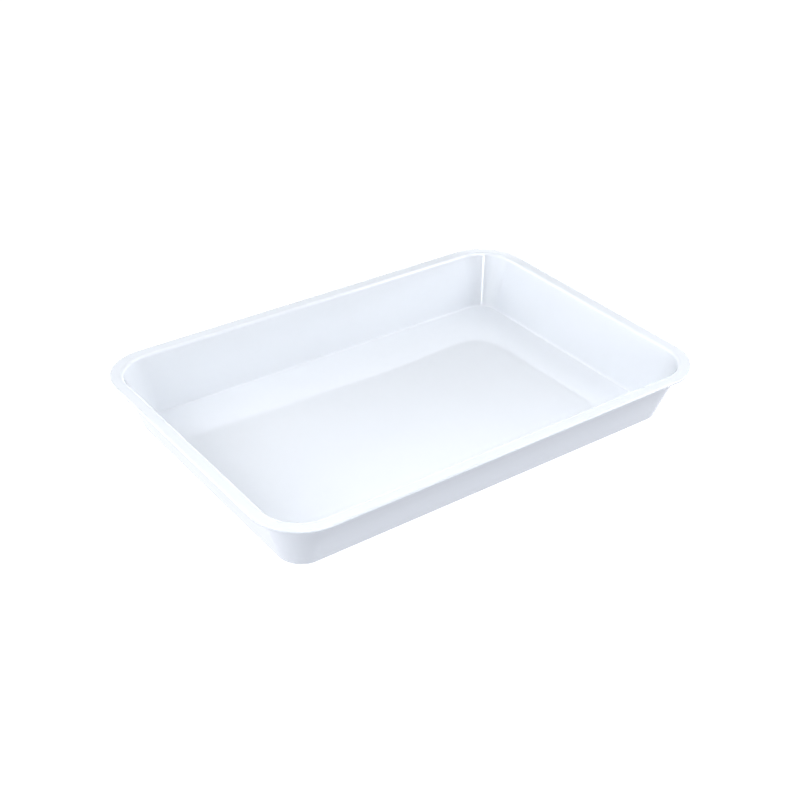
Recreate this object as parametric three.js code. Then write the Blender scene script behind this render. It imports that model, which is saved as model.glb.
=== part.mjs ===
// A one-piece moulded tray: a flat-floored basin with leaning walls, rounded corners
// and a rim that turns outward all the way round.
//
// Millimetres, +Z up. X runs along the long side, Y along the short side, and the origin
// is in the middle of the base, on the surface that the tray stands on.
//
// The wall is described once, as a section: a list of [inset, height] points, where the
// inset is the distance in from the rim's outer edge. Each point of the section becomes
// a rounded rectangle that runs round the tray, and the rectangles are joined in order
// into one closed skin, from the middle of the floor, over the rim, to the middle of
// the underside.

import * as THREE from 'three';

// Driving dimensions
const LENGTH = 420; // over the rim
const WIDTH = 288; // over the rim
const HEIGHT = 50; // from the base to the top of the rim
const WALL = 2.5; // one thickness for floor, walls and rim
const RIM_WIDTH = 10.5; // rim edge to the line where the rim's top and the wall would meet
const RIM_CORNER_RADIUS = 42; // at the rim's outer edge
const FLOOR_INSET = 26.4; // rim edge to the line where the wall and the floor would meet
const FLOOR_CORNER_RADIUS = 18;
const FLOOR_CROWN = 1.8; // how far the middle of the floor stands above its edge
const FOOT_WIDTH = 10; // flat band round the underside that the tray stands on

// Rounded edges of the section
const RIM_EDGE_RADIUS = 1.0;
const SHOULDER_RADIUS = 3.0; // where the rim's top turns down into the basin
const UNDER_RIM_RADIUS = 0.8; // where the rim's underside meets the outer wall
const FLOOR_EDGE_RADIUS = 2.0; // inside the basin, between wall and floor
const BASE_EDGE_RADIUS = 4.0; // outside, between wall and base

// Fineness of the faceted surface
const CORNER_STEPS = 12; // facets round each corner of the tray
const CROWN_SCALES = [0.86, 0.7, 0.52, 0.34, 0.16]; // rings across the crowned floor

// The wall leans out by this angle from the vertical.
const LEAN = Math.atan((FLOOR_INSET - RIM_WIDTH) / (HEIGHT - WALL));
// A round of radius r between the wall and a level face has its centre r * MITRE
// along the level face from the line where the two would meet.
const MITRE = (1 - Math.sin(LEAN)) / Math.cos(LEAN);

// Radius of the tray's corner at a given inset: the rim's lines are parallel, and the
// corner then tightens evenly down the wall to the floor's radius.
function cornerRadius(inset) {
  const atWallTop = RIM_CORNER_RADIUS - RIM_WIDTH;
  if (inset <= RIM_WIDTH) {
    return RIM_CORNER_RADIUS - inset;
  }
  const slope = (atWallTop - FLOOR_CORNER_RADIUS) / (FLOOR_INSET - RIM_WIDTH);
  return atWallTop - slope * (inset - RIM_WIDTH);
}

// Points of a circular arc in the section, from one angle to another, in radians.
// Angle 0 points inward, a quarter turn points up.
function arc(inset, height, radius, from, to, steps) {
  const points = [];
  for (let step = 0; step <= steps; step += 1) {
    const angle = from + ((to - from) * step) / steps;
    points.push([inset + radius * Math.cos(angle), height + radius * Math.sin(angle)]);
  }
  return points;
}

// The section from the floor's edge, up the basin's wall, over the rim and down outside.
function wallSection() {
  const up = Math.PI / 2;
  const outward = Math.PI;
  const down = 1.5 * Math.PI;
  const floorEdge = arc(
    FLOOR_INSET + FLOOR_EDGE_RADIUS * MITRE,
    WALL + FLOOR_EDGE_RADIUS,
    FLOOR_EDGE_RADIUS,
    down,
    outward + LEAN,
    4,
  );
  const shoulder = arc(
    RIM_WIDTH - SHOULDER_RADIUS * MITRE,
    HEIGHT - SHOULDER_RADIUS,
    SHOULDER_RADIUS,
    LEAN,
    up,
    5,
  );
  const rimEdgeTop = arc(
    RIM_EDGE_RADIUS,
    HEIGHT - RIM_EDGE_RADIUS,
    RIM_EDGE_RADIUS,
    up,
    outward,
    3,
  );
  const rimEdgeBottom = arc(
    RIM_EDGE_RADIUS,
    HEIGHT - WALL + RIM_EDGE_RADIUS,
    RIM_EDGE_RADIUS,
    outward,
    down,
    3,
  );
  const underRim = arc(
    RIM_WIDTH - (WALL + UNDER_RIM_RADIUS) * MITRE,
    HEIGHT - WALL - UNDER_RIM_RADIUS,
    UNDER_RIM_RADIUS,
    up,
    LEAN,
    2,
  );
  const baseEdge = arc(
    FLOOR_INSET + (BASE_EDGE_RADIUS - WALL) * MITRE,
    BASE_EDGE_RADIUS,
    BASE_EDGE_RADIUS,
    outward + LEAN,
    down,
    5,
  );
  return [floorEdge, shoulder, rimEdgeTop, rimEdgeBottom, underRim, baseEdge].flat();
}

// A rounded rectangle at the given inset, counter-clockwise from above.
function outline(inset) {
  const radius = cornerRadius(inset);
  const centreX = LENGTH / 2 - inset - radius;
  const centreY = WIDTH / 2 - inset - radius;
  const corners = [[1, 1], [-1, 1], [-1, -1], [1, -1]];
  const points = [];
  corners.forEach(([sideX, sideY], corner) => {
    for (let step = 0; step <= CORNER_STEPS; step += 1) {
      const angle = (Math.PI / 2) * (corner + step / CORNER_STEPS);
      const x = sideX * centreX + radius * Math.cos(angle);
      const y = sideY * centreY + radius * Math.sin(angle);
      points.push([x, y]);
    }
  });
  return points;
}

// A level ring of the skin.
function levelRing(inset, height) {
  return outline(inset).map(([x, y]) => new THREE.Vector3(x, y, height));
}

// Rise of the crowned floor at (x, y): a smooth swell that starts level at the inner
// edge of the foot band and is highest in the middle.
function crown(x, y, inset) {
  const swell = (position, reach) => {
    const share = Math.min(Math.abs(position) / reach, 1);
    return (1 + Math.cos(Math.PI * share)) / 2;
  };
  return FLOOR_CROWN * swell(x, LENGTH / 2 - inset) * swell(y, WIDTH / 2 - inset);
}

// The rings across the crowned floor at a base height, from the outside to the middle.
function crownRings(inset, height) {
  const edge = outline(inset);
  return CROWN_SCALES.map((scale) =>
    edge.map(([x, y]) => {
      const rise = crown(scale * x, scale * y, inset);
      return new THREE.Vector3(scale * x, scale * y, height + rise);
    }),
  );
}

// Joins the rings in order, with a point in the middle of the first and of the last.
function closedSkin(firstPoint, rings, lastPoint) {
  const count = rings[0].length;
  const points = [firstPoint, ...rings.flat(), lastPoint];
  const last = points.length - 1;
  const triangles = [];
  for (let step = 0; step < count; step += 1) {
    const next = (step + 1) % count;
    triangles.push(0, 1 + step, 1 + next);
    for (let ring = 0; ring < rings.length - 1; ring += 1) {
      const near = 1 + ring * count;
      const far = near + count;
      triangles.push(near + step, far + step, far + next);
      triangles.push(near + step, far + next, near + next);
    }
    triangles.push(last, last - count + next, last - count + step);
  }
  const geometry = new THREE.BufferGeometry().setFromPoints(points);
  geometry.setIndex(triangles);
  geometry.computeVertexNormals();
  return geometry;
}

function trayGeometry() {
  const section = wallSection();
  const baseInset = section.at(-1)[0];
  const crownInset = baseInset + FOOT_WIDTH;
  const rings = [
    ...crownRings(crownInset, WALL).reverse(),
    levelRing(crownInset, WALL),
    ...section.map(([inset, height]) => levelRing(inset, height)),
    levelRing(crownInset, 0),
    ...crownRings(crownInset, 0),
  ];
  const floorMiddle = new THREE.Vector3(0, 0, WALL + FLOOR_CROWN);
  const baseMiddle = new THREE.Vector3(0, 0, FLOOR_CROWN);
  return closedSkin(floorMiddle, rings, baseMiddle);
}

// Glossy white plastic
const whitePlastic = new THREE.MeshStandardMaterial({
  color: 0xdde0e4,
  roughness: 0.05,
  metalness: 0,
});

const tray = new THREE.Mesh(trayGeometry(), whitePlastic);
tray.name = 'tray';

const object = new THREE.Group();
object.add(tray);

export default object;
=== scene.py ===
"""A one-piece moulded tray in glossy white plastic, on a pale floor in soft studio light.

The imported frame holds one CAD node, "tray". This script builds the fine surface that
stands for it: the same section and corner radii as the CAD model, with close facets,
a parting line round the rim's edge and the mould's gate mark in the middle of the
underside. Metres, +Z up, origin in the middle of the base.

A skin of rings describes the tray. The wall is a section, a list of (inset, height)
points, where the inset is the distance in from the rim's edge. Each point becomes a
rounded rectangle, and the rings are joined in order, from the middle of the floor,
over the rim, to the middle of the underside.
"""

import math

import bpy
from mathutils import Matrix, Vector


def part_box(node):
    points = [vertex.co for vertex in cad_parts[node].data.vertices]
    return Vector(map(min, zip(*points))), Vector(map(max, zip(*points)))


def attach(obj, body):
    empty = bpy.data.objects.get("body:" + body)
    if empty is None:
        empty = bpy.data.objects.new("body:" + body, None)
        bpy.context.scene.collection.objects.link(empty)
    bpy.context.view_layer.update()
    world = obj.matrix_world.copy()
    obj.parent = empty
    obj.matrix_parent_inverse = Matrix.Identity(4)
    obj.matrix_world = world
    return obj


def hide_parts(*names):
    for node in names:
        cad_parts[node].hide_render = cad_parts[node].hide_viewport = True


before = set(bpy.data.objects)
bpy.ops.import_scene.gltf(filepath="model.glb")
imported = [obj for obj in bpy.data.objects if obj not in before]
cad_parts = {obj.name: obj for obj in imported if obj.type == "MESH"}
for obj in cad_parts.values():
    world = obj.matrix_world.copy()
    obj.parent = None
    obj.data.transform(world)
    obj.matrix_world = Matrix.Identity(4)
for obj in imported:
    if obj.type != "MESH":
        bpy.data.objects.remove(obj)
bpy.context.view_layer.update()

MM = 0.001
node_low, node_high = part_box("tray")

# The tray's outside, from the frame
LENGTH = node_high[0] - node_low[0]
WIDTH = node_high[1] - node_low[1]
HEIGHT = node_high[2] - node_low[2]

# The tray's section, as in the CAD model
WALL = 2.5 * MM
RIM_WIDTH = 10.5 * MM
RIM_CORNER_RADIUS = 42 * MM
FLOOR_INSET = 26.4 * MM
FLOOR_CORNER_RADIUS = 18 * MM
FLOOR_CROWN = 1.8 * MM
FOOT_WIDTH = 10 * MM
RIM_EDGE_RADIUS = 1.0 * MM
SHOULDER_RADIUS = 3.0 * MM
UNDER_RIM_RADIUS = 0.8 * MM
FLOOR_EDGE_RADIUS = 2.0 * MM
BASE_EDGE_RADIUS = 4.0 * MM

# The wall leans out by this angle from the vertical.
LEAN = math.atan((FLOOR_INSET - RIM_WIDTH) / (HEIGHT - WALL))
# A round of radius r between the wall and a level face has its centre r * MITRE
# along the level face from the line where the two would meet.
MITRE = (1 - math.sin(LEAN)) / math.cos(LEAN)

# Parting line: a fine ridge round the rim's edge
PARTING_HEIGHT = 0.06 * MM
PARTING_WIDTH = 0.25 * MM

# Gate mark under the floor: a shallow round dimple with a nub in its middle
GATE_RADIUS = 7 * MM
GATE_DEPTH = 0.35 * MM
NUB_RADIUS = 1.8 * MM
NUB_HEIGHT = 0.5 * MM
NUB_LEVEL = GATE_DEPTH - NUB_HEIGHT  # the nub's tip, against the underside round the mark
MIDDLE_RADIUS = 2.6 * GATE_RADIUS  # inside this the floor's rings are circles

# Fineness of the mesh
CORNER_STEPS = 28
LONG_STEPS = 36
SHORT_STEPS = 24
CROWN_STEPS = 26

# Camera: angles in degrees, distances in metres. Azimuth 0 is in front of the tray's
# near long side, 90 on its right and -90 on its left.
CAMERA_AZIMUTH = -37.28
CAMERA_ELEVATION = 32.03
CAMERA_ROLL = 1.61
CAMERA_DISTANCE = 1.137
CAMERA_SIDE = -0.0030
CAMERA_RISE = 0.0144
CAMERA_LENS = 61.06  # millimetres
SENSOR_WIDTH = 36  # millimetres

# Plastic, in linear colour. The cloud is a noise that shifts the tint and the gloss, and
# the ripple is a finer one that waves the surface.
PLASTIC_TINTS = [(0.714, 0.738, 0.774, 1), (0.724, 0.746, 0.780, 1)]
PLASTIC_ROUGHNESS = (0.04, 0.06)
CLOUD_SCALE = 9.0
CLOUD_RANGE = (0.3, 0.7)  # values of the cloud that take the two roughnesses
RIPPLE_SCALE = 35.0
RIPPLE_STRENGTH = 0.1
RIPPLE_DEPTH = 0.03 * MM

# Studio: every softbox stands this far from the tray and faces it
SOFTBOX_DISTANCE = 1.6
SOFTBOXES = [
    # name, azimuth, elevation, (width, height), watts
    ("front", 0, 58, (0.8, 0.6), 15.6),
    ("front right", 60, 35, (0.8, 0.7), 9.8),
    ("right low", 90, 10, (0.8, 0.5), 5.0),
    ("back left", -150, 35, (0.8, 0.7), 6.2),
    ("left", -90, 35, (0.8, 0.7), 8.0),
    ("left high", -135, 60, (0.8, 0.7), 3.2),
    ("strip high", -34, 62, (0.14, 0.6), 2.2),
    ("strip low", -34, 10, (0.14, 0.44), 1.8),
]

# Screen round the back and sides, from one azimuth to another, in metres and degrees
SCREEN_RADIUS = 2.5
SCREEN_HEIGHT = 1.15
SCREEN_START = 60
SCREEN_END = 300
SCREEN_STEPS = 24
SCREEN_COLOUR = (1.0, 1.0, 1.0)
SCREEN_GLOW = 1.15

# Floor: a square that reaches this far from the tray, in metres
FLOOR_REACH = 6.0
FLOOR_COLOUR = (1.0, 1.01, 1.05)
FLOOR_GLOW = 1.0

# Floor and screen are matt, and white by their own glow
STAGE_COLOUR = (0.1, 0.1, 0.1, 1)
STAGE_ROUGHNESS = 0.9

ROOM_COLOUR = (0.92, 0.96, 1, 1)
ROOM_GLOW = 0.03
CONTRAST = 0.68  # the view's gamma: below 1 deepens the shades


def corner_radius(inset):
    """Radius of the tray's corner at a distance in from the rim's edge."""
    if inset <= RIM_WIDTH:
        return RIM_CORNER_RADIUS - inset
    at_wall_top = RIM_CORNER_RADIUS - RIM_WIDTH
    slope = (at_wall_top - FLOOR_CORNER_RADIUS) / (FLOOR_INSET - RIM_WIDTH)
    return at_wall_top - slope * (inset - RIM_WIDTH)


def arc(inset, height, radius, start, end, steps):
    """Points of a round in the section. Angle 0 points inward, 90 points up."""
    points = []
    for step in range(steps + 1):
        angle = math.radians(start + (end - start) * step / steps)
        points.append((inset + radius * math.cos(angle), height + radius * math.sin(angle)))
    return points


def stretch(start, end, shares):
    """Points between two points of the section, at shares of the way."""
    return [
        (start[0] + (end[0] - start[0]) * share, start[1] + (end[1] - start[1]) * share)
        for share in shares
    ]


def wall_section():
    """(inset, height) points from the floor's edge, over the rim and down to the base."""
    lean = math.degrees(LEAN)
    floor_edge = arc(
        FLOOR_INSET + FLOOR_EDGE_RADIUS * MITRE,
        WALL + FLOOR_EDGE_RADIUS,
        FLOOR_EDGE_RADIUS,
        270,
        180 + lean,
        steps=8,
    )
    shoulder = arc(
        RIM_WIDTH - SHOULDER_RADIUS * MITRE,
        HEIGHT - SHOULDER_RADIUS,
        SHOULDER_RADIUS,
        lean,
        90,
        steps=10,
    )
    edge_inset = RIM_EDGE_RADIUS + PARTING_HEIGHT
    edge_top = arc(
        edge_inset,
        HEIGHT - RIM_EDGE_RADIUS,
        RIM_EDGE_RADIUS,
        90,
        180,
        steps=7,
    )
    edge_bottom = arc(
        edge_inset,
        HEIGHT - WALL + RIM_EDGE_RADIUS,
        RIM_EDGE_RADIUS,
        180,
        270,
        steps=7,
    )
    middle = HEIGHT - WALL / 2
    parting = [
        (PARTING_HEIGHT, middle + PARTING_WIDTH / 2),
        (0.0, middle),
        (PARTING_HEIGHT, middle - PARTING_WIDTH / 2),
    ]
    under_rim = arc(
        RIM_WIDTH - (WALL + UNDER_RIM_RADIUS) * MITRE,
        HEIGHT - WALL - UNDER_RIM_RADIUS,
        UNDER_RIM_RADIUS,
        90,
        lean,
        steps=5,
    )
    base_edge = arc(
        FLOOR_INSET + (BASE_EDGE_RADIUS - WALL) * MITRE,
        BASE_EDGE_RADIUS,
        BASE_EDGE_RADIUS,
        180 + lean,
        270,
        steps=10,
    )
    wall_shares = (0.02, 0.1, 0.3, 0.5, 0.7, 0.9, 0.98)
    rim_shares = (0.08, 0.5, 0.92)
    return (
        floor_edge
        + stretch(floor_edge[-1], shoulder[0], wall_shares)
        + shoulder
        + stretch(shoulder[-1], edge_top[0], rim_shares)
        + edge_top
        + parting
        + edge_bottom
        + stretch(edge_bottom[-1], under_rim[0], rim_shares)
        + under_rim
        + stretch(under_rim[-1], base_edge[0], wall_shares)
        + base_edge
    )


def outline(inset):
    """A rounded rectangle, counter-clockwise from above, as (x, y) points."""
    radius = corner_radius(inset)
    centre_x = LENGTH / 2 - inset - radius
    centre_y = WIDTH / 2 - inset - radius
    corners = [(1, 1), (-1, 1), (-1, -1), (1, -1)]
    side_steps = [LONG_STEPS, SHORT_STEPS, LONG_STEPS, SHORT_STEPS]
    points = []
    for turn, (side_x, side_y) in enumerate(corners):
        for step in range(CORNER_STEPS + 1):
            angle = math.pi / 2 * (turn + step / CORNER_STEPS)
            points.append(
                (
                    side_x * centre_x + radius * math.cos(angle),
                    side_y * centre_y + radius * math.sin(angle),
                )
            )
        next_x, next_y = corners[(turn + 1) % 4]
        angle = math.pi / 2 * (turn + 1)
        end_x = next_x * centre_x + radius * math.cos(angle)
        end_y = next_y * centre_y + radius * math.sin(angle)
        start_x, start_y = points[-1]
        for step in range(1, side_steps[turn]):
            share = step / side_steps[turn]
            points.append(
                (start_x + (end_x - start_x) * share, start_y + (end_y - start_y) * share)
            )
    return points


def swell(position, reach):
    """A smooth rise from 0 at the reach to 1 in the middle, level at both."""
    return (1 + math.cos(math.pi * min(abs(position) / reach, 1))) / 2


def crown(x, y, inset):
    """Rise of the crowned floor above its level band."""
    return FLOOR_CROWN * swell(x, LENGTH / 2 - inset) * swell(y, WIDTH / 2 - inset)


def crown_rings(inset, height):
    """Rings across the crowned floor, from its level band towards a circle in the middle."""
    edge = outline(inset)
    rings = []
    for step in range(1, CROWN_STEPS):
        scale = 1 - step / CROWN_STEPS
        ring = []
        for x, y in edge:
            angle = math.atan2(y, x)
            round_x = MIDDLE_RADIUS * math.cos(angle)
            round_y = MIDDLE_RADIUS * math.sin(angle)
            px = round_x + (x - round_x) * scale
            py = round_y + (y - round_y) * scale
            ring.append((px, py, height + crown(px, py, inset)))
        rings.append(ring)
    return rings


def disc_rings(inset, height, profile):
    """Circular rings in the middle of the floor, at (radius, rise) steps."""
    angles = [math.atan2(y, x) for x, y in outline(inset)]
    rings = []
    for radius, rise in profile:
        ring = []
        for angle in angles:
            x = radius * math.cos(angle)
            y = radius * math.sin(angle)
            ring.append((x, y, height + rise + crown(x, y, inset)))
        rings.append(ring)
    return rings


def closed_skin(name, first_point, rings, last_point):
    """Joins rings in order into one closed mesh, with a point in each end's middle."""
    count = len(rings[0])
    points = [first_point]
    for ring in rings:
        points.extend(ring)
    points.append(last_point)
    last = len(points) - 1
    faces = []
    for step in range(count):
        following = (step + 1) % count
        faces.append((0, 1 + step, 1 + following))
        for ring in range(len(rings) - 1):
            near = 1 + ring * count
            far = near + count
            faces.append((near + step, far + step, far + following, near + following))
        faces.append((last, last - count + following, last - count + step))
    mesh = bpy.data.meshes.new(name)
    mesh.from_pydata(points, [], faces)
    mesh.validate()
    mesh.shade_smooth()
    piece = bpy.data.objects.new(name, mesh)
    bpy.context.scene.collection.objects.link(piece)
    return piece


def gate_mark():
    """(radius, rise) steps of the gate mark, from the underside round it to the nub."""
    return [
        (MIDDLE_RADIUS, 0.0),
        (GATE_RADIUS + 0.6 * MM, 0.0),
        (GATE_RADIUS + 0.2 * MM, 0.05 * MM),
        (GATE_RADIUS, GATE_DEPTH),
        (NUB_RADIUS + 0.4 * MM, GATE_DEPTH),
        (NUB_RADIUS, GATE_DEPTH - 0.1 * MM),
        (NUB_RADIUS - 0.2 * MM, NUB_LEVEL),
        (0.5 * MM, NUB_LEVEL),
    ]


def level_ring(inset, height):
    """A ring of the skin at one height."""
    return [(x, y, height) for x, y in outline(inset)]


def level_band(start, end, height):
    """Level rings between two insets, leaving out the first, which the wall already has."""
    shares = (0.1, 0.5, 1)
    return [level_ring(start + (end - start) * share, height) for share in shares]


def build_tray():
    """The whole tray: floor, walls, rim and underside in one skin."""
    section = wall_section()
    floor_inset = section[0][0]
    base_inset = section[-1][0]
    crown_inset = base_inset + FOOT_WIDTH
    smooth_middle = [(MIDDLE_RADIUS * share, 0.0) for share in (1, 0.6, 0.25)]
    rings = (
        disc_rings(crown_inset, WALL, smooth_middle)[::-1]
        + crown_rings(crown_inset, WALL)[::-1]
        + level_band(floor_inset, crown_inset, WALL)[::-1]
        + [level_ring(inset, height) for inset, height in section]
        + level_band(base_inset, crown_inset, 0.0)
        + crown_rings(crown_inset, 0.0)
        + disc_rings(crown_inset, 0.0, gate_mark())
    )
    first_point = (0.0, 0.0, WALL + FLOOR_CROWN)
    last_point = (0.0, 0.0, NUB_LEVEL + FLOOR_CROWN)
    return closed_skin("tray_moulding", first_point, rings, last_point)


def node(tree, kind, place, **inputs):
    """A shader node at a place in the editor, with input values by name."""
    made = tree.nodes.new(kind)
    made.location = place
    for name, value in inputs.items():
        made.inputs[name.replace("_", " ")].default_value = value
    return made


def white_plastic():
    """Glossy cool-white moulded plastic: a faint cloud in its colour and its gloss, and
    a ripple in its surface."""
    material = bpy.data.materials.new("white_plastic")
    material.use_nodes = True
    tree = material.node_tree
    links = tree.links
    shader = tree.nodes["Principled BSDF"]
    shader.inputs["IOR"].default_value = 1.5

    place = node(tree, "ShaderNodeTexCoord", (-1100, 0))

    cloud = node(tree, "ShaderNodeTexNoise", (-900, 300), Scale=CLOUD_SCALE, Detail=3.0)
    links.new(place.outputs["Object"], cloud.inputs["Vector"])
    tint = node(tree, "ShaderNodeMix", (-600, 300))
    tint.data_type = "RGBA"
    # A Mix node has sockets of the same name for every data type, so its colour sockets
    # are taken by number: inputs 6 and 7, and output 2. Input 0 is the factor.
    tint.inputs[6].default_value = PLASTIC_TINTS[0]
    tint.inputs[7].default_value = PLASTIC_TINTS[1]
    links.new(cloud.outputs["Fac"], tint.inputs[0])
    links.new(tint.outputs[2], shader.inputs["Base Color"])

    gloss = node(tree, "ShaderNodeMapRange", (-600, 50))
    gloss.inputs["From Min"].default_value = CLOUD_RANGE[0]
    gloss.inputs["From Max"].default_value = CLOUD_RANGE[1]
    gloss.inputs["To Min"].default_value = PLASTIC_ROUGHNESS[0]
    gloss.inputs["To Max"].default_value = PLASTIC_ROUGHNESS[1]
    links.new(cloud.outputs["Fac"], gloss.inputs["Value"])
    links.new(gloss.outputs["Result"], shader.inputs["Roughness"])

    ripple = node(tree, "ShaderNodeTexNoise", (-900, -200), Scale=RIPPLE_SCALE, Detail=1.0)
    links.new(place.outputs["Object"], ripple.inputs["Vector"])
    relief = node(
        tree,
        "ShaderNodeBump",
        (-600, -200),
        Strength=RIPPLE_STRENGTH,
        Distance=RIPPLE_DEPTH,
    )
    links.new(ripple.outputs["Fac"], relief.inputs["Height"])
    links.new(relief.outputs["Normal"], shader.inputs["Normal"])
    return material


def direction(azimuth, elevation):
    """Unit vector from the tray towards an azimuth and an elevation, in degrees."""
    turn = math.radians(azimuth)
    rise = math.radians(elevation)
    return Vector(
        (
            math.sin(turn) * math.cos(rise),
            -math.cos(turn) * math.cos(rise),
            math.sin(rise),
        )
    )


def stage_piece(name, points, faces, colour, glow):
    """A plain piece of the studio, matt and glowing in a colour."""
    mesh = bpy.data.meshes.new(name)
    mesh.from_pydata(points, [], faces)
    material = bpy.data.materials.new(name)
    material.use_nodes = True
    shader = material.node_tree.nodes["Principled BSDF"]
    shader.inputs["Base Color"].default_value = STAGE_COLOUR
    shader.inputs["Roughness"].default_value = STAGE_ROUGHNESS
    shader.inputs["Specular IOR Level"].default_value = 0.0
    shader.inputs["Emission Color"].default_value = (*colour, 1)
    shader.inputs["Emission Strength"].default_value = glow
    mesh.materials.append(material)
    piece = bpy.data.objects.new(name, mesh)
    bpy.context.scene.collection.objects.link(piece)


def make_floor():
    """A plain white floor that glows like a light table, so it shows no shadow."""
    turns = [(-1, -1), (1, -1), (1, 1), (-1, 1)]
    corners = [(x * FLOOR_REACH, y * FLOOR_REACH, 0.0) for x, y in turns]
    stage_piece("pale_floor", corners, [(0, 1, 2, 3)], FLOOR_COLOUR, FLOOR_GLOW)


def make_screen():
    """A low white screen that curves round the back and both sides of the tray."""
    points = []
    for step in range(SCREEN_STEPS + 1):
        azimuth = SCREEN_START + (SCREEN_END - SCREEN_START) * step / SCREEN_STEPS
        foot = direction(azimuth, 0) * SCREEN_RADIUS
        points.append((foot.x, foot.y, 0.0))
        points.append((foot.x, foot.y, SCREEN_HEIGHT))
    faces = []
    for step in range(SCREEN_STEPS):
        foot = 2 * step
        faces.append((foot, foot + 2, foot + 3, foot + 1))
    stage_piece("pale_screen", points, faces, SCREEN_COLOUR, SCREEN_GLOW)


def softbox(name, azimuth, elevation, size, watts):
    """A rectangular lamp in a direction from the tray, facing it."""
    lamp = bpy.data.lights.new(name, "AREA")
    lamp.shape = "RECTANGLE"
    lamp.size, lamp.size_y = size
    lamp.energy = watts
    light = bpy.data.objects.new(name, lamp)
    light.location = direction(azimuth, elevation) * SOFTBOX_DISTANCE
    aim = Vector((0, 0, HEIGHT / 2)) - light.location
    light.rotation_euler = aim.to_track_quat("-Z", "Y").to_euler()
    bpy.context.scene.collection.objects.link(light)


def make_lights():
    """The softboxes, in an almost dark room."""
    for box in SOFTBOXES:
        softbox(*box)
    world = bpy.data.worlds.new("room")
    world.use_nodes = True
    background = world.node_tree.nodes["Background"]
    background.inputs["Color"].default_value = ROOM_COLOUR
    background.inputs["Strength"].default_value = ROOM_GLOW
    bpy.context.scene.world = world


def make_camera():
    """The camera stands off the near left corner and looks down into the tray. Its side
    and rise shift it across its line of sight, and its roll tilts it about that line."""
    azimuth = math.radians(CAMERA_AZIMUTH)
    back = direction(CAMERA_AZIMUTH, CAMERA_ELEVATION)
    level = Vector((math.cos(azimuth), math.sin(azimuth), 0))
    rise = back.cross(level)
    roll = math.radians(CAMERA_ROLL)
    right = level * math.cos(roll) + rise * math.sin(roll)
    up = rise * math.cos(roll) - level * math.sin(roll)
    camera = bpy.data.objects.new("camera", bpy.data.cameras.new("camera"))
    place = back * CAMERA_DISTANCE + right * CAMERA_SIDE + up * CAMERA_RISE
    turn = Matrix((right, up, back)).transposed().to_4x4()
    camera.matrix_world = Matrix.Translation(place) @ turn
    camera.data.lens = CAMERA_LENS
    camera.data.sensor_width = SENSOR_WIDTH
    bpy.context.scene.collection.objects.link(camera)
    bpy.context.scene.camera = camera


make_camera()
tray = build_tray()
tray.data.materials.append(white_plastic())
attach(tray, "root")
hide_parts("tray")
make_floor()
make_screen()
make_lights()
bpy.context.scene.view_settings.view_transform = "Standard"
bpy.context.scene.view_settings.gamma = CONTRAST
